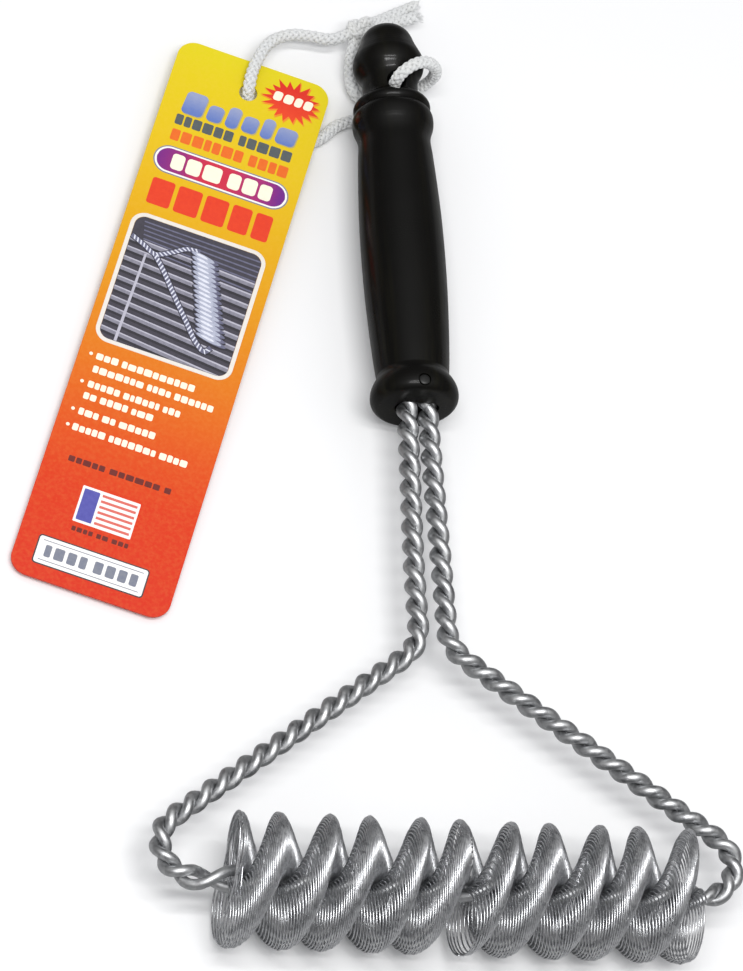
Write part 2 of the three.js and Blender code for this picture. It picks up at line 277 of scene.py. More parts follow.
def respace(path, step):
    """Even points along a path, about `step` apart."""
    length = arc_length(path)
    count = max(2, int(round(length[-1] / step)) + 1)
    at = np.linspace(0, length[-1], count)
    return np.stack([np.interp(at, length, path[:, k]) for k in range(3)], 1)


def curve_through(points, per=40):
    """Centripetal Catmull-Rom curve with `per` steps to each pair of points."""
    points = np.asarray(points, float)
    points = np.vstack([2 * points[0] - points[1], points, 2 * points[-1] - points[-2]])
    rows = []
    for i in range(1, len(points) - 2):
        before, start, end, after = points[i - 1:i + 3]
        knots = [max(np.linalg.norm(b - a) ** 0.5, 1e-4)
                 for a, b in ((before, start), (start, end), (end, after))]
        leave = ((start - before) / knots[0] - (end - before) / (knots[0] + knots[1])
                 + (end - start) / knots[1]) * knots[1]
        arrive = ((end - start) / knots[1] - (after - start) / (knots[1] + knots[2])
                  + (after - end) / knots[2]) * knots[1]
        t = np.linspace(0, 1, per, endpoint=False)[:, None]
        rows.append(start + leave * t + (-3 * start + 3 * end - 2 * leave - arrive) * t ** 2
                    + (2 * start - 2 * end + leave + arrive) * t ** 3)
    rows.append(points[-2][None])
    return np.vstack(rows)


def smooth01(t):
    t = np.clip(t, 0, 1)
    return t * t * (3 - 2 * t)


def wander(rng, at, grid, amount):
    """Random drift of up to `amount` either way, drawn at the grid points."""
    return amount * np.interp(at, grid, rng.uniform(-1, 1, len(grid)))


def skin(shape, rings, poles, along, first_corner=0):
    """Joins rings (rows, sides, 3) with quads and closes both ends with fans to the poles.
    U is `along`, V runs 0 to 1 round each ring."""
    rows, sides = rings.shape[:2]
    row = np.arange(rows - 1)[:, None] * sides
    here = np.arange(sides)
    beside = (here + 1) % sides
    quads = np.stack([row + here, row + beside, row + sides + beside, row + sides + here],
                     -1).reshape(-1, 4)
    u_near, u_far = np.repeat(along[:-1], sides), np.repeat(along[1:], sides)
    v_here = np.tile(here / sides, rows - 1)
    v_beside = v_here + 1.0 / sides
    corners = (u_near, v_here), (u_near, v_beside), (u_far, v_beside), (u_far, v_here)
    uvs = np.stack([np.stack(corner, -1) for corner in corners], 1)
    last_row, pole = (rows - 1) * sides, rows * sides
    fans = np.vstack([
        np.stack([np.full(sides, pole), beside, here], -1),
        np.stack([np.full(sides, pole + 1), last_row + here, last_row + beside], -1)])
    quads, fans, uvs = (np.roll(a, -first_corner, axis=1) for a in (quads, fans, uvs))
    shape.add(np.vstack([rings.reshape(-1, 3), poles]), [quads, fans],
              [uvs, np.zeros((2 * sides, 3, 2))])


# Tube ends: (distance out, ring scale) of each closing ring, then the pole's distance out,
# the distances in tube radii.
CAPS = {"dome": ([(0.35, 0.93), (0.72, 0.62)], 0.85),
        "flat": ([(0.06, 0.93), (0.1, 0.6)], 0.11)}


def tube(shape, path, normals, sideways, half_width, half_height, sides, cap="dome", u_start=0.0):
    """A closed tube, elliptical in section: half width sideways, half height along normals."""
    half_width = np.broadcast_to(np.asarray(half_width, float), (len(path),))
    half_height = np.broadcast_to(np.asarray(half_height, float), (len(path),))
    angle = 2 * np.pi * np.arange(sides) / sides
    up = (half_height[:, None] * np.sin(angle))[:, :, None]
    across = (half_width[:, None] * np.cos(angle))[:, :, None]
    rings = path[:, None, :] + normals[:, None, :] * up + sideways[:, None, :] * across
    closing, pole_out = CAPS[cap]
    ends, poles = [], []
    for i, way in ((0, -1), (-1, 1)):
        outward = way * tangents(path)[i] * min(half_width[i], half_height[i])
        ends.append([path[i] + (rings[i] - path[i]) * scale + outward * out
                     for out, scale in closing])
        poles.append(path[i] + outward * pole_out)
    u = arc_length(path) + u_start
    extra = len(closing)
    u = np.concatenate([[u[0] - 0.1] * extra, u, [u[-1] + 0.1] * extra])
    skin(shape, np.concatenate([ends[0][::-1], rings, ends[1]]), poles, u, first_corner=1)


def lathe(shape, profile, sides, axis="y", origin=(0, 0, 0)):
    """Turns (radius, along) about an axis. The profile starts and ends on the axis."""
    profile = np.asarray(profile, float)
    along = np.concatenate([[0], np.cumsum(np.hypot(*np.diff(profile, axis=0).T))])
    angle = 2 * np.pi * np.arange(sides) / sides
    radius = profile[1:-1, 0][:, None]
    height = profile[1:-1, 1][:, None] + 0 * angle
    start, end = profile[0, 1], profile[-1, 1]
    if axis == "y":
        rings = np.stack([radius * np.sin(angle), height, radius * np.cos(angle)], -1)
        poles = np.array([[0, start, 0], [0, end, 0]])
    else:
        rings = np.stack([radius * np.cos(angle), radius * np.sin(angle), height], -1)
        poles = np.array([[0, 0, start], [0, 0, end]])
    skin(shape, rings + origin, poles + origin, along[1:-1])


# ------------------------------------------------------------------ materials
def lacquer():
    m = Material("black_lacquered_wood", (0.006, 0.0055, 0.005, 1))
    streak = m.noise(scale=420, detail=5, rough=0.6, distortion=0.4, stretch=(1, 0.035, 1))
    broad = m.noise(scale=95, detail=3, rough=0.5, stretch=(1, 0.09, 1))
    pores = m.noise(scale=1500, detail=2, rough=0.5, stretch=(1, 0.05, 1))
    smudge = m.noise(scale=70, detail=4, rough=0.6)
    haze = m.noise(scale=160, detail=3, rough=0.6)
    ripple = m.noise(scale=210, detail=3, rough=0.5, stretch=(1, 0.3, 1))
    lathe_marks = m.waves(scale=330.0, distortion=1.5, detail=2.0, detail_scale=1.5)
    grain = m.math("MULTIPLY", m.span(streak, to=(0.0, 1.0), within=(0.42, 0.78)),
                   m.span(broad, to=(0.0, 1.0), within=(0.4, 0.7)))
    turned = m.bump(lathe_marks, distance=0.00002, strength=0.35)
    m.set(
        Base_Color=m.ramp(grain, [(0.0, (0.0032, 0.0030, 0.0026, 1)),
                                  (0.45, (0.0072, 0.0066, 0.0036, 1)),
                                  (1.0, (0.017, 0.0145, 0.005, 1))]),
        Roughness=m.span(smudge, to=(0.24, 0.42), within=MIDDLE),
        IOR=1.45,
        Specular_IOR_Level=0.12,
        Coat_Weight=0.2,
        Coat_Roughness=m.span(haze, to=(0.05, 0.12), within=MIDDLE),
        Coat_IOR=1.42,
        Normal=m.bump(m.math("ADD", pores, streak), distance=0.00006, strength=0.5,
                      Normal=turned),
        Coat_Normal=m.bump(ripple, distance=0.00005, strength=0.35))
    return m


def wire_metal(name, dark, light, rough, drawn, mottled):
    """`drawn` is the depth of the lines along the wire, `mottled` the cloud noise scale."""
    m = Material(name, tuple(0.5 * (a + b) for a, b in zip(dark[:3], light[:3])) + (1.0,))
    lines = m.noise(scale=3.0, detail=3, rough=0.6, source="UV", stretch=(0.35, 9.0, 1))
    cloud = m.noise(scale=mottled, detail=4, rough=0.6)
    fine = m.noise(scale=mottled * 7, detail=3, rough=0.6)
    cells = m.node("ShaderNodeTexVoronoi", {"Vector": m.coords(), "Scale": mottled * 2.2},
                   feature="F1").outputs["Color"]
    spangle = m.node("ShaderNodeSeparateColor", {"Color": cells}).outputs[0]
    tone = m.weighted((cloud, 0.65), (spangle, 0.35))
    height = m.weighted((lines, drawn), (fine, 0.5))
    m.set(
        Base_Color=m.ramp(tone, [(0.28, dark), (0.72, light)]),
        Metallic=1.0,
        Roughness=m.math("ADD", m.span(tone, to=rough, within=(0.25, 0.75)),
                         m.span(lines, to=(-0.05, 0.07), within=MIDDLE)),
        Normal=m.bump(height, distance=0.00003, strength=0.6))
    return m


def pin_metal():
    m = Material("pin_black_steel", grey(0.05))
    grain = m.noise(scale=1400, detail=4, rough=0.6)
    m.set(
        Base_Color=m.ramp(grain, [(0.3, grey(0.005)), (0.75, (0.014, 0.014, 0.013, 1))]),
        Metallic=0.15,
        Roughness=m.span(grain, to=(0.3, 0.5)),
        Normal=m.bump(grain, distance=0.00003, strength=0.4))
    return m


def fibre():
    m = Material("white_braided_fibre", (0.82, 0.82, 0.80, 1))
    filaments = m.noise(scale=2.2, detail=4, rough=0.65, distortion=0.3,
                        source="UV", stretch=(0.25, 16.0, 1))
    hairs = m.waves(scale=1.0, distortion=2.4, detail=3.0, detail_scale=1.6,
                    source="UV", stretch=(0.5, 9.0, 1))
    soil = m.noise(scale=120, detail=4, rough=0.6)
    tone = m.weighted((filaments, 0.6), (hairs, 0.4))
    clean = m.ramp(tone, [(0.2, srgb(214, 216, 218)), (0.6, srgb(243, 244, 243)),
                          (0.85, srgb(252, 252, 250))])
    m.set(
        Base_Color=m.mix(m.span(soil, to=(0.0, 0.35), within=(0.45, 0.8)), clean,
                         srgb(226, 224, 212)),
        Roughness=m.span(tone, to=(0.62, 0.42)),
        Sheen_Weight=0.25,
        Sheen_Roughness=0.4,
        Subsurface_Weight=0.12,
        Subsurface_Radius=(0.6, 0.6, 0.6),
        Subsurface_Scale=0.0006,
        Specular_IOR_Level=0.45,
        Normal=m.bump(tone, distance=0.00012, strength=0.8))
    return m


# Yellow to red down the card: (0 at the top edge to 1 at the bottom edge, colour).
CARD_FADE = [
    (0.00, srgb(224, 208, 21)), (0.06, srgb(227, 202, 19)), (0.18, srgb(229, 193, 21)),
    (0.30, srgb(227, 174, 15)), (0.42, srgb(225, 153, 15)), (0.53, srgb(224, 130, 19)),
    (0.63, srgb(223, 107, 21)), (0.73, srgb(220, 80, 21)), (0.83, srgb(216, 58, 22)),
    (1.00, srgb(213, 51, 28))]


def card_print():
    """Printed face: the colour fade, with paper tooth and a light varnish."""
    m = Material("card_printed_face", srgb(244, 150, 35))
    drift = m.noise(scale=30, detail=2, rough=0.5)
    mottle = m.noise(scale=900, detail=3, rough=0.6)
    tooth = m.noise(scale=2600, detail=2, rough=0.5)
    wear = m.noise(scale=220, detail=4, rough=0.6)
    down = m.span(m.position("Y"), to=(0.0, 1.0), within=(TAG_TOP * MM, TAG_BOTTOM * MM))
    down = m.math("ADD", down, m.span(drift, to=(-0.006, 0.006), within=MIDDLE))
    colour = m.mix(m.span(mottle, to=(0.0, 0.07), within=(0.4, 0.75)),
                   m.ramp(down, CARD_FADE), srgb(250, 206, 110))
    # Shiny pieces see the card as nearly black.
    colour = m.mix(m.math("MULTIPLY", m.glossy_ray(), 0.93), colour, srgb(46, 44, 42))
    m.set(
        Base_Color=colour,
        Roughness=m.span(wear, to=(0.34, 0.52), within=MIDDLE),
        Coat_Weight=0.07,
        Coat_Roughness=0.28,
        Specular_IOR_Level=0.24,
        Normal=m.bump(m.math("ADD", mottle, tooth), distance=0.000025, strength=0.5))
    return m


def card_paper():
    m = Material("card_paper", srgb(236, 232, 222))
    fibres = m.noise(scale=1400, detail=4, rough=0.65, stretch=(1, 0.3, 1))
    blotches = m.noise(scale=130, detail=3, rough=0.55)
    m.set(
        Base_Color=m.mix(m.span(blotches, to=(0.0, 0.5), within=(0.3, 0.75)),
                         srgb(240, 237, 228), srgb(226, 220, 207)),
        Roughness=m.span(fibres, to=(0.6, 0.85)),
        Normal=m.bump(fibres, distance=0.00004, strength=0.6))
    return m


def ink(name, first, second, rough=0.42, fade=None):
    """A printed colour: two close tones mottled together, or a fade from the first to the
    second. `fade` is (axis, start, end) in the tag's frame."""
    first, second = srgb(*first), srgb(*second)
    m = Material("ink_" + name, first)
    if fade:
        axis, start, end = fade
        tone = m.span(m.position(axis), to=(0.0, 1.0), within=(start * MM, end * MM))
        drift = m.noise(scale=700, detail=3, rough=0.6)
        tone = m.math("ADD", tone, m.span(drift, to=(-0.06, 0.06), within=MIDDLE))
    else:
        tone = m.noise(scale=800, detail=4, rough=0.6)
    wear = m.noise(scale=300, detail=3, rough=0.6)
    tooth = m.noise(scale=2400, detail=3, rough=0.5)
    m.set(
        Base_Color=m.ramp(tone, [(0.15, first), (0.85, second)]),
        Roughness=m.span(wear, to=(rough - 0.08, rough + 0.08), within=MIDDLE),
        Coat_Weight=0.15,
        Coat_Roughness=0.3,
        Normal=m.bump(tooth, distance=0.00002, strength=0.4))
    return m


def pale_floor():
    m = Material("pale_floor", grey(0.86))
    cloud = m.noise(scale=6, detail=2, rough=0.5)
    pale = m.ramp(cloud, [(0.3, grey(0.90)), (0.7, grey(0.93))])
    # Shiny pieces see a darker floor than the camera does.
    m.set(Base_Color=m.mix(m.glossy_ray(), pale, grey(0.36)), Roughness=0.9,
          Specular_IOR_Level=0.1)
    return m


# ------------------------------------------------------------------ handle
# (radius, distance from the knob's end) in three runs that meet at sharp grooves.
HANDLE_RUNS = [
    [(4.5, 0), (5.5, 0.38), (6.3, 1.1), (7.1, 2.1), (7.7, 3.3), (8.6, 6.0), (9.8, 8.9),
     (10.55, 10.8), (10.8, 12.6), (10.45, 14.8), (9.4, 16.8), (8.65, 18.5), (8.45, 20.5),
     (8.45, 23.6), (8.75, 24.9), (9.6, 25.75), (10.7, 26.45), (11.45, 27.4), (11.7, 28.35),
     (11.5, 29.2), (10.95, 29.95)],
    [(10.95, 29.95), (11.6, 30.7), (12.12, 31.9), (12.3, 33.4), (12.08, 35.5), (11.35, 37.8),
     (10.95, 40.2), (11.3, 45.5), (11.9, 56), (12.35, 67), (12.5, 79), (12.35, 92),
     (11.9, 104), (11.25, 115.5), (10.75, 121.3)],
    [(10.75, 121.3), (11.2, 122.6), (12.15, 124.3), (12.85, 126.1), (13.1, 128),
     (12.85, 129.5), (12.2, 130.6), (11.4, 131.25), (10.6, HANDLE_LENGTH)],
]
CORD_HOLE_RADIUS, CORD_HOLE_REACH = 2.7, 12
SOCKET_RADIUS, SOCKET_LEFT, SOCKET_RIGHT = 3.5, -2.7, 3.7   # end arcs and their centres, X
SOCKET_OUTER_Y, SOCKET_INNER_Y = -133.5, -107.6
PIN_Y = -128.9
# (radius, Z) of the recess for the pin's head and of the bore below it.
PIN_SEAT = [(0, 12.2), (1.75, 12.2), (1.9, 12.35), (1.9, 12.9), (2.25, 13.4), (2.25, 16), (0, 16)]
PIN_BORE = [(0, 3.2), (0.9, 3.2), (0.9, 12.6), (0, 12.6)]
PIN_HEAD_RADIUS, PIN_HEAD_Z, PIN_CROWN = 1.62, 12.7, 0.42
PIN_BODY = [(0, 3.8), (0.24, 3.85), (0.7, 5.6), (0.7, 12.42), (1.45, 12.45), (1.58, 12.55),
            (PIN_HEAD_RADIUS, PIN_HEAD_Z)]


def handle_profile():
    rows = [np.array([[0.0, 0.0]])]
    for run in HANDLE_RUNS:
        curve = curve_through([(radius, distance, 0.0) for radius, distance in run], 24)
        rows.append(respace(curve, 0.3)[:, :2])
    rows.append(np.array([[0.0, HANDLE_LENGTH]]))
    profile = np.vstack(rows)
    apart = np.hypot(*np.diff(profile, axis=0).T) > 1e-6
    return profile[np.concatenate([[True], apart])] * [1, -1]


def turned_cutter(profile, y, sides):
    shape = Shape()
    lathe(shape, profile, sides, "z", (0, y, 0))
    return add_object("turned_cutter", shape.mesh("turned_cutter", []))


def socket_cutter():
    """A prism along Y with rounded left and right ends."""
    outline = []
    for x, start in ((SOCKET_RIGHT, -math.pi / 2), (SOCKET_LEFT, math.pi / 2)):
        for i in range(49):
            angle = start + math.pi * i / 48
            outline.append((x + SOCKET_RADIUS * math.cos(angle), SOCKET_RADIUS * math.sin(angle)))
    n = len(outline)
    shape = Shape()
    shape.add([(x, y, z) for y in (SOCKET_OUTER_Y, SOCKET_INNER_Y) for x, z in outline],
              [[(i, (i + 1) % n, n + (i + 1) % n, n + i) for i in range(n)],
               [list(range(n))[::-1]], [list(range(n, 2 * n))]])
    return add_object("socket_cutter", shape.mesh("socket_cutter", []))


def cut(ob, cutters):
    """The mesh of ob with the cutters taken out. Removes all the objects."""
    for cutter in cutters:
        modifier = ob.modifiers.new("cut", "BOOLEAN")
        modifier.operation = "DIFFERENCE"
        modifier.solver = "EXACT"
        modifier.object = cutter
    mesh = evaluated_mesh(ob)
    for used in [*cutters, ob]:
        bpy.data.objects.remove(used)
    return mesh


def evaluated_mesh(ob):
    bpy.context.view_layer.update()
    depsgraph = bpy.context.evaluated_depsgraph_get()
    return bpy.data.meshes.new_from_object(ob.evaluated_get(depsgraph))


def build_handle():
    shape = Shape()
    lathe(shape, handle_profile(), 192)
    solid = add_object("handle_turned", shape.mesh("handle_turned", [lacquer()]))
    # The cord hole widens toward both mouths.
    hole = [(CORD_HOLE_RADIUS + min(0.75 * max(0.0, (abs(z) - 6.6) / 2.2) ** 2, 2.5), z)
            for z in np.linspace(-CORD_HOLE_REACH, CORD_HOLE_REACH, 49)]
    hole = [(0, -CORD_HOLE_REACH), *hole, (0, CORD_HOLE_REACH)]
    mesh = cut(solid, [turned_cutter(hole, CORD_HOLE_Y, 72), socket_cutter(),
                       turned_cutter(PIN_SEAT, PIN_Y, 48), turned_cutter(PIN_BORE, PIN_Y, 24)])
    mesh.name = "handle_turned"
    mesh.polygons.foreach_set("use_smooth", np.full(len(mesh.polygons), True))
    mesh.set_sharp_from_angle(angle=math.radians(32))
    mesh.update()
    piece("handle_turned", mesh, "brush", "handle")


def build_pin():
    crown = [(PIN_HEAD_RADIUS * math.cos(angle), PIN_HEAD_Z + PIN_CROWN * math.sin(angle))
             for angle in np.radians(np.linspace(0, 90, 12)[1:-1])]
    shape = Shape()
    lathe(shape, [*PIN_BODY, *crown, (0, PIN_HEAD_Z + PIN_CROWN)], 48, "z", (0, PIN_Y, 0))
    mesh = shape.mesh("retaining_pin_head", [pin_metal()], sharp=50)
    piece("retaining_pin_head", mesh, "brush", "retaining_pin")


# ------------------------------------------------------------------ twisted stem wires
WIRE_RADIUS = 1.6
STEM_OFFSET, HEAD_OFFSET = 1.62, 2.45      # wire centre from the pair's centre line
LEG_PITCH, HEAD_PITCH = 12.9, 25.95        # length of one full twist
HEAD_PHASE = 56.0                          # degrees, at the middle of the head
LEG_START_Y, LEG_TOP_X, LEG_LOW_X = -109.5, 3.7, 4.2
LEFT_INSET = 1.15                          # shift of the left leg's top toward the right
BEND_Y, BEND_RADIUS, BEND = -203.4, 13.2, math.radians(52.1)
CORNER_X, CORNER_RADIUS = 82.9, 10.2


def stem_line():
    """Centre line of the twisted pair: down the left leg, along the head, up the right leg."""
    y = LEG_START_Y + (BEND_Y - LEG_START_Y) * np.linspace(0, 1, 61)
    spread = smooth01((-HANDLE_LENGTH - y) / (-HANDLE_LENGTH - BEND_Y))
    leg = np.stack([LEG_TOP_X + (LEG_LOW_X - LEG_TOP_X) * spread, y], 1)
    angle = BEND * np.arange(1, 49) / 48
    bend = np.stack([LEG_LOW_X + BEND_RADIUS * (1 - np.cos(angle)),
                     BEND_Y - BEND_RADIUS * np.sin(angle)], 1)
    centre = np.array([CORNER_X - CORNER_RADIUS, HEAD_Y + CORNER_RADIUS])
    corner_start = centre + CORNER_RADIUS * np.array([math.cos(BEND), math.sin(BEND)])
    slope = bend[-1] + (corner_start - bend[-1]) * (np.arange(1, 61) / 60)[:, None]
    angle = BEND + (-math.pi / 2 - BEND) * np.arange(1, 81) / 80
    corner = centre + CORNER_RADIUS * np.stack([np.cos(angle), np.sin(angle)], 1)
    right = np.vstack([leg, bend, slope, corner])
    left = right * [-1, 1]
    left[:, 0] += LEFT_INSET * (1 - smooth01((-128 - left[:, 1]) / 62))
    x = np.linspace(-centre[0], centre[0], 121)[1:-1]
    line = np.vstack([left, np.stack([x, np.full_like(x, HEAD_Y)], 1), right[::-1]])
    return respace(np.hstack([line, np.zeros((len(line), 1))]), 0.25)


def strand_paths():
    line = stem_line()
    along = tangents(line)
    side = np.stack([-along[:, 1], along[:, 0], 0 * along[:, 0]], 1)
    # 1 along the head, easing to 0 at its corners and up the legs.
    head = np.where(line[:, 1] > HEAD_Y + 6, 0.0,
                    1 - smooth01((np.abs(line[:, 0]) - 69.5) / 9.5))
    rate = 2 * math.pi / (LEG_PITCH + (HEAD_PITCH - LEG_PITCH) * head)
    steps = 0.5 * (rate[1:] + rate[:-1]) * np.diff(arc_length(line))
    turn = np.concatenate([[0], np.cumsum(steps)])
    middle = int(np.argmin(np.linalg.norm(line - [0, HEAD_Y, 0], axis=1)))
    phase = (math.radians(HEAD_PHASE) - 2 * math.pi * line[middle, 0] / HEAD_PITCH
             - (turn - turn[middle]))
    offset = (STEM_OFFSET + (HEAD_OFFSET - STEM_OFFSET) * head)[:, None]
    paths = []
    for shift in (0.0, math.pi):
        out = (side * np.cos(phase + shift)[:, None]
               + np.array([0, 0, 1.0]) * np.sin(phase + shift)[:, None])
        paths.append(line + out * offset)
    return paths


def build_stem():
    metal = wire_metal("galvanized_stem_wire", srgb(171, 172, 174), srgb(208, 209, 210),
                       rough=(0.36, 0.50), drawn=0.7, mottled=330)
    wires = (("stem_wire_first", "stem_wire_a", 5), ("stem_wire_second", "stem_wire_b", 9))
    for (name, replaced, seed), path in zip(wires, strand_paths()):
        length = arc_length(path)
        grid = np.arange(0, length[-1] + 8, 4)
        radius = WIRE_RADIUS * (1 + wander(np.random.RandomState(seed), length, grid, 0.010))
        shape = Shape()
        tube(shape, path, *carried(path, (0, 0, 1)), radius, radius, 18, cap="flat")
        mesh = shape.mesh(name, [metal], sharp=60)
        piece(name, mesh, "brush", replaced)


# ------------------------------------------------------------------ coil springs
# Each spring is threaded on one stem wire. The two wires twisted together grip every turn
# at the head axis, so a spring's turns stand out to its wire's side and wind round the head.
SPRING_RADIUS, TURN_PITCH = 0.245, 0.52
LOOP_NEAR, LOOP_FAR, LOOP_HALF_WIDTH = 0.42, 18.95, 10.6     # distances from the head axis
LEAN = 0.95                    # X shift at a loop's far side
STEPS_PER_TURN = 36


def coil(key, metal, start_x, end_x, phase, seed, lean, end_turns=(),
         mouth_lean=0.0, mouth_shift=0.0, mouth_turns=14.0):
    """end_turns: (first turn, last turn, near distance, half width, extra lean) of reshaped
    turns. The mouth values tilt and shift the first turns, fading over mouth_turns."""
    turns = (end_x - start_x) / TURN_PITCH
    count = int(round(turns * STEPS_PER_TURN))
    t = np.linspace(0, turns, count + 1)
    angle = 2 * np.pi * t
    rng = np.random.RandomState(seed)
    grid = np.arange(int(turns) + 3)
    x = start_x + (end_x - start_x) * t / turns + wander(rng, t, grid, 0.025)
    far = LOOP_FAR * (1 + wander(rng, t, grid, 0.008))
    width = LOOP_HALF_WIDTH * (1 + wander(rng, t, grid, 0.015))
    phase = phase + wander(rng, t, grid, 0.5)
    near = LOOP_NEAR
    for first, last, end_near, end_width, extra_lean in end_turns:
        weight = smooth01((t - first) / 0.45 + 0.5) * smooth01((last - t) / 0.45 + 0.5)
        near = near * (1 - weight) + end_near * weight
        width = width * (1 - weight) + end_width * weight
        lean = lean + extra_lean * weight
    mouth = 1 - smooth01(t / mouth_turns)
    x = x - mouth_shift * mouth
    swing = 0.5 * (far - near) * np.cos(angle)
    out = 0.5 * (far + near) + swing
    across = width * np.sin(angle)
    wind = np.radians(phase) - 2 * np.pi * x / HEAD_PITCH
    x = x + mouth_lean * mouth * (swing * np.sin(wind) + across * np.cos(wind))
    path = np.stack([x + lean * out / LOOP_FAR,
                     HEAD_Y + out * np.cos(wind) - across * np.sin(wind),
                     out * np.sin(wind) + across * np.cos(wind)], 1)
    shape = Shape()
    tube(shape, path, *carried(path, (1, 0, 0)), SPRING_RADIUS, SPRING_RADIUS, 8, cap="flat")
    name = "spring_coils_" + key
    piece(name, shape.mesh(name, [metal], sharp=60), "brush",
          "coil_spring_" + key)


def build_springs():
    metal = wire_metal("bright_spring_wire", srgb(196, 197, 200), srgb(231, 232, 234),
                       rough=(0.26, 0.36), drawn=0.5, mottled=420)
    left_end, right_end = -64.6, 70.0
    side_a = {"phase": HEAD_PHASE, "lean": -LEAN}
    side_b = {"phase": HEAD_PHASE + 180, "lean": LEAN}
    coil("a_left", metal, left_end, 3.6, seed=3, **side_a)
    coil("b_left", metal, left_end, -3.0, seed=4, **side_b,
         end_turns=[(0.3, 2.4, -15.5, 7.0, 0.0), (4.5, 5.7, -14.0, 7.4, 0.5)])
    coil("a_right", metal, 4.6, right_end, seed=5, **side_a)
    coil("b_right", metal, 3.3, right_end, seed=6, **side_b, mouth_lean=0.15, mouth_shift=1.1)


# ------------------------------------------------------------------ cord
KNOT = np.array([-6.9, 4.7, -6.0])
# (x, y, z) from the knot through the tag's hole, down through the handle, round it and back.
CORD_LOOP = [
    KNOT, (-11.2, 1.6, -6.0), (-16, -0.3, -6.0), (-22, 0.3, -6.0), (-28.6, 0.1, -5.9),
    (-34.8, -3.1, -5.8), (-39.0, -9.6, -5.6), (-41.3, -15.2, -5.7), (-42.0, -18.7, -6.8),
    TAG_HOLE, (-41.7, -21.1, -11.2), (-40.2, -24.0, -12.3), (-36, -29.4, -12.5),
    (-30.5, -33.4, -12.5), (-24.6, -34.5, -12.5), (-19.2, -31.8, -12.6), (-14.3, -27.2, -12.9),
    (-9.1, -24.5, -13.2), (-4.2, -22.9, -12.9), (-1.1, -22.5, -11.4), (0, CORD_HOLE_Y, -8.6),
    (0, CORD_HOLE_Y, 0), (0, CORD_HOLE_Y, 8.6), (0.7, -22.1, 11.0), (2.9, -20.6, 12.4),
    (5.8, -18.7, 12.3), (8.8, -17.2, 10.8), (12.0, -16.0, 7.4), (13.9, -15.2, 2.9),
    (14.2, -14.5, -1.4), (13.1, -14.1, -5.6), (10.2, -14.6, -9.3), (6, -15.9, -11.6),
    (0.4, -17.3, -12.5), (-4.6, -17.6, -12.3), (-7.9, -16.0, -11.2), (-9.3, -10.6, -10.5),
    (-8.9, -4, -9.3), (-7.7, 1.2, -7.6), KNOT,
]
TAIL_A = [KNOT, (-3.4, 7.0, -6.9), (2.4, 10.3, -7.8), (8, 13.6, -8.0), (12.7, 16.1, -8.0)]
TAIL_B = [KNOT, (-2.8, 6.6, -8.0), (2.8, 8.3, -8.2), (8.0, 10.0, -8.0), (12.0, 11.3, -7.6)]
# Braid sizes at scale 1: strand centre radius, its weave in and out, strand half sizes, core.
BRAID_RADIUS, BRAID_WEAVE, STRAND_WIDTH, STRAND_HEIGHT, CORE_RADIUS = 1.26, 0.21, 0.60, 0.42, 1.08
STRANDS = 4


def braid(shape, path, scale, seed, pitch=8.2, start=(0.2, 0.3, 1.0)):
    """Round braid: four strands each way, over one and under one, on a plain core."""
    path = respace(path, 0.26)
    normals, sideways = carried(path, start)
    length = arc_length(path)
    rng = np.random.RandomState(seed)
    grid = np.arange(0, length[-1] + 6, 3.0)
    swell = 1 + wander(rng, length, grid, 0.045)
    core = CORE_RADIUS * scale * swell
    tube(shape, path, normals, sideways, core, core, 10)
    weave = BRAID_WEAVE * scale * np.cos(STRANDS * 2 * np.pi * length / pitch)
    for way in (1, -1):
        radius = (BRAID_RADIUS * scale + way * weave) * swell
        for k in range(STRANDS):
            angle = way * 2 * np.pi * length / pitch + 2 * np.pi * k / STRANDS
            out = normals * np.cos(angle)[:, None] + sideways * np.sin(angle)[:, None]
            strand = path + out * radius[:, None]
            along = tangents(strand)
            side = unit(np.cross(along, out))
            up = unit(np.cross(side, along))
            plump = scale * (1 + wander(rng, length, grid, 0.06))
            tube(shape, strand, up, side, STRAND_WIDTH * plump, STRAND_HEIGHT * plump, 8,
                 u_start=rng.uniform(0, 20))


def fray(shape, tail, count, length, spread, seed):
    """Loose filaments standing out of a tail's tip."""
    rng = np.random.RandomState(seed)
    tip = np.array(tail[-1], float)
    along = unit(tip - np.array(tail[-2]))
    side = unit(np.cross(along, [0, 0, 1.0]))
    up = np.cross(along, side)
    tip_radius, root = 1.25, 1.4           # filaments start this deep inside the tip
    for i in range(count):
        angle = rng.uniform(0, 2 * np.pi)
        radius = tip_radius * math.sqrt(rng.uniform(0, 1))
        outward = side * math.cos(angle) + up * math.sin(angle)
        splay = outward * spread * rng.uniform(0.1, 1) * (radius / tip_radius)
        reach = length * rng.uniform(0.45, 1)
        bend = (side * rng.uniform(-1, 1) + up * rng.uniform(-1, 1)) * 0.5
        t = np.linspace(0, 1, 8)[:, None]
        path = (tip - along * root + outward * radius + along * (reach + root) * t
                + splay * t ** 2 * reach + bend * t ** 3)
        thickness = 0.16 * (1 - 0.55 * t[:, 0])
        tube(shape, path, *carried(path, side + 0.1 * up), thickness, thickness, 6,
             u_start=rng.uniform(0, 20))


def knot_path():
    """A small trefoil drawn tight over the meeting point."""
    t = np.linspace(0, 2 * np.pi, 181)
    trefoil = np.stack([np.sin(t) + 2 * np.sin(2 * t), np.cos(t) - 2 * np.cos(2 * t),
                        -1.15 * np.sin(3 * t)], 1)
    turn = np.array(Matrix.Rotation(math.radians(24), 3, "Z")
                    @ Matrix.Rotation(math.radians(34), 3, "X"))
    return (trefoil * [1.16, 1.04, 1.0]) @ turn.T + KNOT + [0.9, -0.9, 0.4]


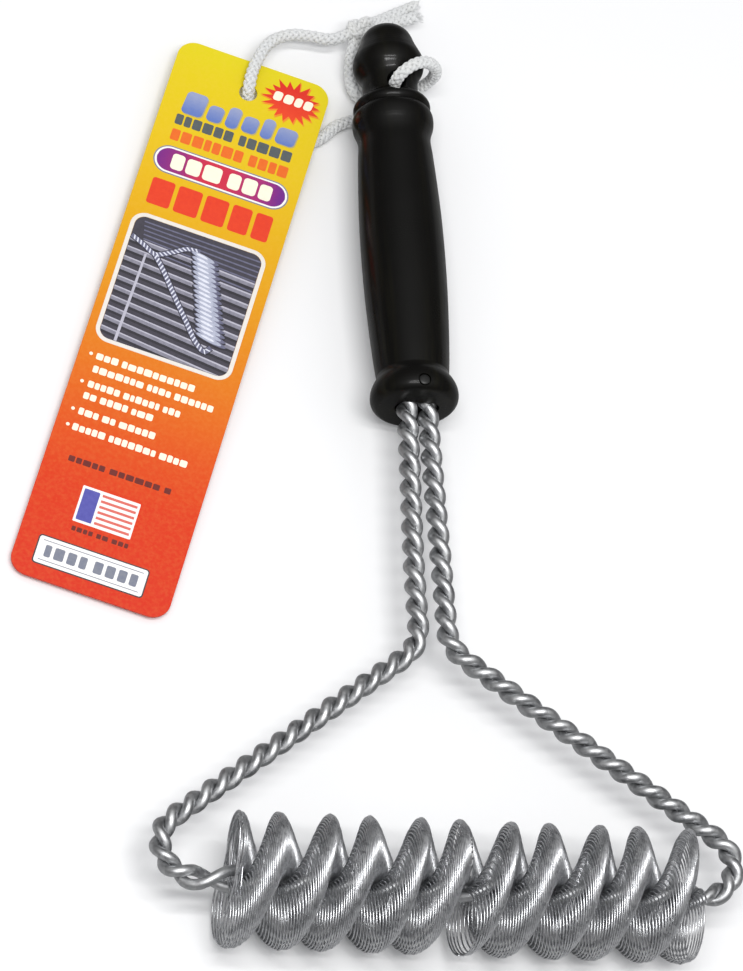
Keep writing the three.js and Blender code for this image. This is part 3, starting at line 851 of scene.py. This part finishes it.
def build_cord():
    shape = Shape()
    braid(shape, curve_through(CORD_LOOP), scale=1.05, seed=2)
    braid(shape, curve_through(TAIL_A), scale=0.95, seed=3)
    braid(shape, curve_through(TAIL_B), scale=1.06, seed=4)
    braid(shape, knot_path(), scale=0.96, seed=5, pitch=7.0, start=(0, 0.2, 1))
    fray(shape, TAIL_A, count=26, length=1.5, spread=0.35, seed=6)
    fray(shape, TAIL_B, count=34, length=2.4, spread=0.75, seed=7)
    piece("cord_braided", shape.mesh("cord_braided", [fibre()]), "cord",
          "hang_cord")


# ------------------------------------------------------------------ tag card
def round_rect(x0, y0, x1, y1, radius, steps=8, skew=0.0):
    """Outline of a box with rounded corners; skew leans it along X as Y rises."""
    radius = min(radius, (x1 - x0) / 2 - 1e-3, (y1 - y0) / 2 - 1e-3)
    left, right, low, high = x0 + radius, x1 - radius, y0 + radius, y1 - radius
    points = []
    for corner_x, corner_y, start in ((right, high, 0), (left, high, 90),
                                      (left, low, 180), (right, low, 270)):
        for i in range(steps + 1):
            angle = math.radians(start + 90 * i / steps)
            y = corner_y + radius * math.sin(angle)
            points.append((corner_x + radius * math.cos(angle) + skew * (y - y0), y))
    return points


def ellipse(x, y, half_x, half_y, count):
    return [(x + half_x * math.cos(angle), y + half_y * math.sin(angle))
            for angle in np.linspace(0, 2 * math.pi, count, endpoint=False)]


def grown(box, amount):
    x0, y0, x1, y1 = box
    return x0 - amount, y0 - amount, x1 + amount, y1 + amount


def card_mesh():
    curve = bpy.data.curves.new("card_outline", "CURVE")
    curve.dimensions = "2D"
    curve.fill_mode = "BOTH"
    curve.extrude = (CARD_HALF_THICKNESS - CARD_BEVEL) * MM
    curve.bevel_depth = CARD_BEVEL * MM
    curve.bevel_resolution = 2
    # The bevel grows the card outward, so both outlines stand back by its depth.
    card = grown((-TAG_HALF_WIDTH, TAG_BOTTOM, TAG_HALF_WIDTH, TAG_TOP), -CARD_BEVEL)
    hole_radius = TAG_HOLE_RADIUS + CARD_BEVEL
    for points in (round_rect(*card, TAG_CORNER, 16), ellipse(0, 0, hole_radius, hole_radius, 64)):
        spline = curve.splines.new("POLY")
        spline.points.add(len(points) - 1)
        for point, (x, y) in zip(spline.points, points):
            point.co = (x * MM, y * MM, 0, 1)
        spline.use_cyclic_u = True
    ob = add_object("card_outline", curve)
    mesh = evaluated_mesh(ob)
    bpy.data.objects.remove(ob)
    bm = bmesh.new()
    bm.from_mesh(mesh)
    bmesh.ops.remove_doubles(bm, verts=bm.verts, dist=1e-6)
    bmesh.ops.recalc_face_normals(bm, faces=bm.faces)
    for face in bm.faces:
        face.smooth = False
        face.material_index = 0 if face.normal.z > 0.7 else 1
    bm.to_mesh(mesh)
    bm.free()
    return mesh


def build_card():
    mesh = card_mesh()
    mesh.name = "tag_card_body"
    mesh.materials.clear()
    for material in (card_print(), card_paper()):
        mesh.materials.append(material.data)
    piece("tag_card_body", mesh, "tag", "hang_tag", place=TAG_PLACE)


# ------------------------------------------------------------------ tag print
MATT = {"rough": 0.5}
# Name: two sRGB tones, then roughness and fade where they are not the usual.
INKS = {
    "soft_blue": ((98, 122, 190), (150, 160, 196), {"fade": ("Y", -14.5, -6)}),
    "blue_shade": ((196, 178, 96), (176, 164, 110), {}),
    "slate": ((74, 82, 92), (92, 98, 92), {}),
    "orange_red": ((232, 98, 14), (238, 116, 22), {}),
    "red": ((224, 48, 12), (234, 66, 18), {}),
    "white": ((246, 244, 240), (252, 250, 248), MATT),
    "cream": ((250, 240, 214), (255, 248, 228), MATT),
    "steel_blue": ((112, 118, 140), (140, 142, 150), {}),
    "plum": ((120, 24, 130), (150, 30, 116), {"fade": ("X", -21, -12)}),
    "plum_right": ((170, 32, 110), (112, 24, 134), {"fade": ("X", 10, 20)}),
    "rose": ((150, 28, 116), (206, 34, 66), {"fade": ("X", -14, -4)}),
    "rose_right": ((206, 34, 66), (160, 30, 112), {"fade": ("X", 0, 12)}),
    "dark_brown": ((96, 26, 18), (120, 34, 22), {}),
    "near_black": ((48, 46, 50), (70, 68, 70), {}),
    "burst_red": ((222, 36, 12), (236, 66, 20), {"fade": ("Y", 8, -6)}),
    "burst_rim": ((240, 150, 26), (236, 128, 24), {}),
    "panel_dark": ((52, 50, 60), (70, 66, 78), MATT),
    "slat_shadow": ((34, 32, 40), (46, 44, 52), MATT),
    "slat": ((112, 110, 124), (150, 148, 162), MATT),
    "slat_light": ((176, 174, 188), (196, 194, 206), MATT),
    "rod": ((206, 208, 222), (238, 240, 250), MATT),
    "rod_shade": ((88, 88, 112), (116, 116, 140), MATT),
    "coil": ((150, 154, 176), (196, 200, 216), MATT),
    "panel_frame": ((226, 220, 212), (240, 234, 224), MATT),
    "stripe": ((216, 96, 84), (224, 116, 104), MATT),
    "patch_blue": ((74, 72, 160), (92, 92, 176), MATT),
}
INK_BASE = CARD_HALF_THICKNESS - 0.015     # ink shapes start just inside the card
INK_STEP = 0.03                            # rise of each level above the face


class Print:
    """Thin raised ink shapes on the card's face, in the tag's frame."""

    def __init__(self):
        self.inks, self.shape = [], Shape()

    def slot(self, name):
        if name not in self.inks:
            self.inks.append(name)
        return self.inks.index(name)

    def poly(self, points, name, level):
        n = len(points)
        top_z = CARD_HALF_THICKNESS + INK_STEP * level
        sides = np.array([(i, (i + 1) % n, n + (i + 1) % n, n + i) for i in range(n)])
        top, bottom = np.arange(n, 2 * n)[None], np.arange(n)[None, ::-1]
        area = sum(points[i - 1][0] * points[i][1] - points[i][0] * points[i - 1][1]
                   for i in range(n))
        faces = [sides, top, bottom]
        if area < 0:
            faces = [group[:, ::-1] for group in faces]
        self.shape.add([(x, y, z) for z in (INK_BASE, top_z) for x, y in points], faces,
                       slot=self.slot(name))

    def ring(self, outer, inner, name, level):
        n = len(outer)
        top_z = CARD_HALF_THICKNESS + INK_STEP * level
        rims = ((outer, INK_BASE), (outer, top_z), (inner, top_z), (inner, INK_BASE))
        faces = []
        for k in range(4):
            here, beyond = k * n, ((k + 1) % 4) * n
            faces += [(here + i, here + (i + 1) % n, beyond + (i + 1) % n, beyond + i)
                      for i in range(n)]
        self.shape.add([(x, y, z) for rim, z in rims for x, y in rim], [faces],
                       slot=self.slot(name))

    def blocks(self, x0, x1, y, height, name, words, seed, radius, level=1, skew=0.0, gap=0.34,
               space=1.5, vary=0.0):
        """A row of plain rounded blocks centred on y, filling x0 to x1. `words` holds the
        blocks in each group, `gap` parts blocks, `space` parts groups."""
        rng = np.random.RandomState(seed)
        groups = [[rng.uniform(0.75, 1.25) for _ in range(count)] for count in words]
        free = (x1 - x0) - space * (len(words) - 1) - gap * sum(count - 1 for count in words)
        stretch = free / sum(map(sum, groups))
        x, low = x0, y - height / 2
        for group in groups:
            for share in group:
                top = low + height * (1 - vary * rng.uniform(0, 1))
                width = share * stretch
                self.poly(round_rect(x, low, x + width, top, radius, 4, skew), name, level)
                x += width + gap
            x += space - gap


def print_burst(tag):
    """Many-pointed burst at the top right corner."""
    for scale, name, level, shift_x, shift_y in ((1.0, "burst_rim", 1, 0.35, -0.45),
                                                 (0.97, "burst_red", 2, 0.0, 0.0)):
        rng = np.random.RandomState(12)
        points = []
        for i in range(36):
            angle = 2 * math.pi * i / 36 + 0.08
            reach = scale * (rng.uniform(0.86, 1.0) if i % 2 == 0 else rng.uniform(0.56, 0.66))
            points.append((13.3 + shift_x + 10.3 * reach * math.cos(angle),
                           1.8 + shift_y + 8.2 * reach * math.sin(angle)))
        tag.poly(points, name, level)
    tag.blocks(7.4, 19.6, 2.4, 3.3, "cream", [4], seed=3, radius=0.9, level=3, gap=0.6, skew=0.12)


def print_headline(tag):
    """Large leaning blocks with an offset shade, then two rows of smaller ones."""
    # (width, bottom, top)
    blocks = [(6.6, -14.3, -6.2), (4.7, -14.1, -8.3), (3.9, -14.1, -6.6),
              (4.7, -13.7, -7.9), (3.6, -13.6, -6.4), (6.2, -13.6, -7.6)]
    for name, level, shift in (("blue_shade", 1, 0.35), ("soft_blue", 2, 0.0)):
        x = -17.8 + shift
        for width, bottom, top in blocks:
            tag.poly(round_rect(x, bottom - shift, x + width, top - shift, 1.5, 8, 0.08),
                     name, level)
            x += width + 1.2
    tag.blocks(-18.4, 18.3, -17.0, 3.7, "slate", [6, 5], seed=11, radius=0.5, gap=0.5, space=2.0)
    tag.blocks(-18.3, 18.6, -22.6, 4.0, "orange_red", [7, 4], seed=14, radius=0.5, gap=0.55,
               space=2.0)


def print_lozenge(tag):
    """A rounded bar in four fading bands, and the large red row below it."""
    middle, half_width, radius = -31.6, 20.2, 3.95
    for half, end_radius, name, level in ((21.2, 4.9, "steel_blue", 1), (20.8, 4.5, "white", 2)):
        tag.poly(round_rect(-half, middle - end_radius, half, middle + end_radius,
                            end_radius, 20), name, level)
    for x0, x1, name in ((-20.19, -12, "plum"), (-12, -3, "rose"),
                         (-3, 10.5, "rose_right"), (10.5, 20.19, "plum_right")):
        top, bottom = [], []
        for x in np.linspace(x0, x1, 24):
            past = max(0.0, abs(x) - (half_width - radius))
            rise = math.sqrt(max(radius * radius - past * past, 0.0))
            top.append((x, middle + rise))
            bottom.append((x, middle - rise))
        tag.poly(top + bottom[::-1], name, 3)
    tag.blocks(-15.6, 16.0, middle, 5.6, "cream", [3, 3], seed=21, radius=1.1, level=4, gap=0.8,
               space=2.2, vary=0.05)
    tag.blocks(-19.2, 18.8, -43.6, 9.3, "red", [5], seed=8, radius=0.9, gap=1.25)


PANEL = (-20.2, -96.9, 19.4, -53.2)        # picture panel: left, bottom, right, top


def clip(points, box):
    """Keeps the part of a polygon inside a box."""
    for axis, limit, sign in ((0, box[0], 1), (0, box[2], -1), (1, box[1], 1), (1, box[3], -1)):
        kept = []
        for i in range(len(points)):
            before, point = points[i - 1], points[i]
            was_in = sign * (before[axis] - limit) >= 0
            is_in = sign * (point[axis] - limit) >= 0
            if was_in != is_in:
                step = point - before
                kept.append(before + step * (limit - before[axis]) / step[axis])
            if is_in:
                kept.append(point)
        points = kept
    return points


def stripe(tag, start, end, start_width, end_width, name, level):
    """A straight tapering stripe, kept inside the panel."""
    start, end = np.array(start, float), np.array(end, float)
    run = end - start
    normal = np.array([-run[1], run[0]]) / np.hypot(*run)
    corners = [start + normal * start_width / 2, start - normal * start_width / 2,
               end - normal * end_width / 2, end + normal * end_width / 2]
    corners = clip(corners, grown(PANEL, -0.1))
    if len(corners) > 2:
        tag.poly(corners, name, level)


def twisted_rod(tag, points, width, level):
    path = respace(curve_through([(x, y, 0) for x, y in points], 30), 0.25)[:, :2]
    run = np.gradient(path, axis=0)
    normal = np.stack([-run[:, 1], run[:, 0]], 1) / np.hypot(run[:, 0], run[:, 1])[:, None]
    for half, name, rise in ((width / 2 + 0.22, "slat_shadow", 0), (width / 2, "rod_shade", 0.3)):
        tag.poly([*(path + normal * half), *(path - normal * half)[::-1]], name, level + rise)
    for i in range(2, len(path) - 6, 5):
        start = path[i] + normal[i] * width * 0.42
        end = path[i + 3] - normal[i + 3] * width * 0.42
        along = (path[i + 1] - path[i]) * 2.0
        tag.poly([start, start + along, end + along, end], "rod", level + 0.6)


def print_panel(tag):
    """Picture panel: slats, a bent twisted rod and a plain coil."""
    tag.ring(round_rect(*grown(PANEL, 1.3), 4.6, 16), round_rect(*grown(PANEL, 0.05), 3.3, 16),
             "panel_frame", 3)
    tag.poly(round_rect(*PANEL, 3.3, 16), "panel_dark", 1)
    for i in range(7):         # thin rows at the top
        y = -54.6 - 1.45 * i
        stripe(tag, (-17.5 + 0.3 * i, y - 0.2), (20.5, y - 0.6 - 0.35 * i), 0.45, 0.5,
               "rod_shade", 1.6)
    # (rise, left width, right width, ink, level) of each slat's layers
    layers = [(0.0, 2.2, 2.5, "slat_shadow", 1.5), (0.45, 1.45, 1.7, "slat", 2),
              (0.95, 0.38, 0.45, "slat_light", 2.4)]
    for i in range(11):
        y = -62.0 - 3.55 * i
        drop = 2.2 + 0.25 * i
        for rise, *rest in layers:
            stripe(tag, (-22, y + rise), (22, y - drop + rise), *rest)
    stripe(tag, (-14.2, -65.4), (-14.9, -97), 0.7, 0.9, "slat_light", 2.8)
    twisted_rod(tag, [(-19.9, -60.6), (-15.5, -62.6), (-11.6, -64.4), (-7.0, -62.0),
                      (-3.0, -59.2), (1.0, -58.6)], 1.5, 3.2)
    twisted_rod(tag, [(-11.8, -64.3), (-8.0, -68.5), (-3.0, -75.0), (3.0, -82.5),
                      (8.0, -88.6), (11.0, -90.5), (12.6, -88.6)], 1.6, 3.4)
    for i in range(18):        # the coil's turns
        t = i / 17
        x, y = 2.9 + 8.9 * t, -60.3 - 26.0 * t
        width, height = 4.7 + 0.5 * t, 1.25
        # (half width, half height, shift x, shift y, ink, level)
        ovals = [(width, height, 0.0, -0.25, "slat_shadow", 4.4),
                 (width - 0.2, height - 0.32, 0.0, 0.0, "rod_shade", 4.6),
                 (width * 0.78, height * 0.66, -0.55, 0.08, "coil", 4.8),
                 (width * 0.40, height * 0.32, -1.0, 0.22, "rod", 5.0)]
        for half_x, half_y, shift_x, shift_y, name, level in ovals:
            oval = ellipse(x + shift_x, y + shift_y, half_x, half_y, 28)
            slanted = [(px, py - 0.17 * (px - x)) for px, py in oval]
            tag.poly(slanted, name, level + 0.03 * i)


def print_rows(tag):
    """Six cream rows, four of them bulleted, and a brown row."""
    # (y, left, right, blocks in each group)
    rows = [(-103.5, -18.6, 11.7, [3, 10]), (-108.0, -18.4, 18.7, [7, 4, 6]),
            (-113.2, -18.4, 9.9, [5, 6, 3]), (-117.3, -18.6, 2.7, [2, 4, 3]),
            (-122.8, -18.5, 4.9, [3, 2, 5]), (-128.3, -18.8, 16.3, [5, 7, 4])]
    for k, (y, left, right, words) in enumerate(rows):
        tag.blocks(left, right, y, 2.35, "cream", words, seed=30 + k, radius=0.45, gap=0.36,
                   space=1.2, vary=0.12)
    for k in (0, 2, 4, 5):
        tag.poly(ellipse(-20.3, rows[k][0] + 0.1, 0.55, 0.55, 20), "cream", 1)
    tag.blocks(-17.0, 14.2, -138.6, 1.9, "dark_brown", [5, 6, 1], seed=41, radius=0.3, gap=0.42)


def print_plates(tag):
    """A small striped plate with a row under it, and a plain name plate."""
    tag.poly(round_rect(-10.4, -157.7, 7.1, -145.6, 0.3, 3), "white", 1)
    for i in range(6):
        y = -147.0 - 1.86 * i
        tag.poly(round_rect(-4.2, y - 0.42, 6.4, y + 0.42, 0.1, 2), "stripe", 2)
    tag.poly(round_rect(-9.7, -156.9, -5.0, -146.4, 0.3, 3), "patch_blue", 2)
    tag.blocks(-9.9, 7.2, -160.0, 1.5, "dark_brown", [4, 2, 3], seed=43, radius=0.25, gap=0.4,
               space=1.2)
    plate = (-18.0, -174.6, 15.5, -165.0)
    tag.poly(round_rect(*plate, 1.1, 6), "near_black", 1)
    tag.poly(round_rect(*grown(plate, -0.4), 0.8, 6), "white", 2)
    for y in (-166.6, -173.0):
        tag.poly(round_rect(-16.4, y - 0.12, 13.9, y + 0.12, 0.1, 2), "steel_blue", 3)
    tag.blocks(-15.2, 12.8, -169.8, 3.9, "steel_blue", [4, 4], seed=47, radius=0.5, level=3,
               gap=1.0, space=2.2)


def build_print():
    tag = Print()
    for part in (print_burst, print_headline, print_lozenge, print_panel, print_rows,
                 print_plates):
        part(tag)
    materials = {name: ink(name, first, second, **options)
                 for name, (first, second, options) in INKS.items()}
    mesh = tag.shape.mesh("tag_print_layers", [materials[name] for name in tag.inks], solid=False)
    piece("tag_print_layers", mesh, "tag", place=TAG_PLACE)


# ------------------------------------------------------------------ floor, light, camera
FLOOR_HALF = 2500.0
FLOOR_Z, FLOOR_RISE = -15.5, 4.8     # height under the cord hole, and rise to there from the head
# What shiny surfaces see: pale overhead, falling off to dark sides.
SKY = [(0.0, (0.09, 0.09, 0.095, 1)), (0.35, grey(0.15)), (0.62, grey(0.32)),
       (0.85, grey(0.70)), (1.0, grey(1.2))]
SKY_UP = (-0.05, -0.12, 1.0)
CAMERA_PLACE = (-0.37658546, -0.892286, 1.31631176)          # metres
CAMERA_TURN = Matrix(((0.970879963083487, -0.054299267343366625, -0.23333170990883448),
                      (-0.06471043455497123, 0.8783299374077573, -0.47365502289429134),
                      (0.23066134687613718, 0.474961167485573, 0.8492392080197592)))


def build_floor():
    slope = FLOOR_RISE / (CORD_HOLE_Y - HEAD_Y)
    near, far = (FLOOR_Z + slope * (y - CORD_HOLE_Y) for y in (-FLOOR_HALF, FLOOR_HALF))
    shape = Shape()
    shape.add([(-FLOOR_HALF, -FLOOR_HALF, near), (FLOOR_HALF, -FLOOR_HALF, near),
               (FLOOR_HALF, FLOOR_HALF, far), (-FLOOR_HALF, FLOOR_HALF, far)], [[(0, 1, 2, 3)]])
    add_object("floor", shape.mesh("floor", [pale_floor()], solid=False))


def build_world():
    world = bpy.data.worlds.new("studio")
    bpy.context.scene.world = world
    sky = Nodes(world, "ShaderNodeOutputWorld", "ShaderNodeBackground")
    direction = sky.node("ShaderNodeTexCoord").outputs["Generated"]
    height = sky.node("ShaderNodeVectorMath", {0: direction, 1: Vector(SKY_UP).normalized()},
                      operation="DOT_PRODUCT").outputs["Value"]
    ambient = (0.56, 0.565, 0.58, 1)
    sky.set(Color=sky.mix(sky.glossy_ray(), ambient, sky.ramp(height, SKY)), Strength=1.0)


def strip_light(name, direction, target, distance, length, width, power, shift, spin):
    """Strip aimed at the target, turned by spin degrees, then slid across its length.
    Sizes are metres."""
    light = bpy.data.lights.new(name, "AREA")
    light.shape = "RECTANGLE"
    light.size, light.size_y = length, width
    light.energy = power
    ob = bpy.data.objects.new(name, light)
    away = Vector(direction).normalized()
    ob.location = Vector(target) + away * distance
    ob.rotation_mode = "QUATERNION"
    turn = (-away).to_track_quat("-Z", "Y") @ Matrix.Rotation(
        math.radians(spin), 3, "Z").to_quaternion()
    ob.rotation_quaternion = turn
    ob.location += turn @ Vector((0, shift, 0))
    bpy.context.scene.collection.objects.link(ob)


def build_lights():
    for name, shift in (("strip_upper", 0.15), ("strip_lower", -0.15)):
        strip_light(name, direction=(-0.10, -0.30, 0.94), target=(0, -0.14, 0), distance=1.3,
                    length=0.80, width=0.08, power=6.0, shift=shift, spin=18)


def build_camera():
    camera = bpy.data.cameras.new("camera")
    camera.sensor_width = 36.0
    camera.lens = 198.356
    camera.clip_start, camera.clip_end = 0.05, 20.0
    ob = bpy.data.objects.new("camera", camera)
    ob.matrix_world = Matrix.Translation(CAMERA_PLACE) @ CAMERA_TURN.to_4x4()
    bpy.context.scene.collection.objects.link(ob)
    bpy.context.scene.camera = ob
    bpy.context.scene.view_settings.view_transform = "Standard"


build_handle()
build_pin()
build_stem()
build_springs()
build_cord()
build_card()
build_print()
build_floor()
build_world()
build_lights()
build_camera()
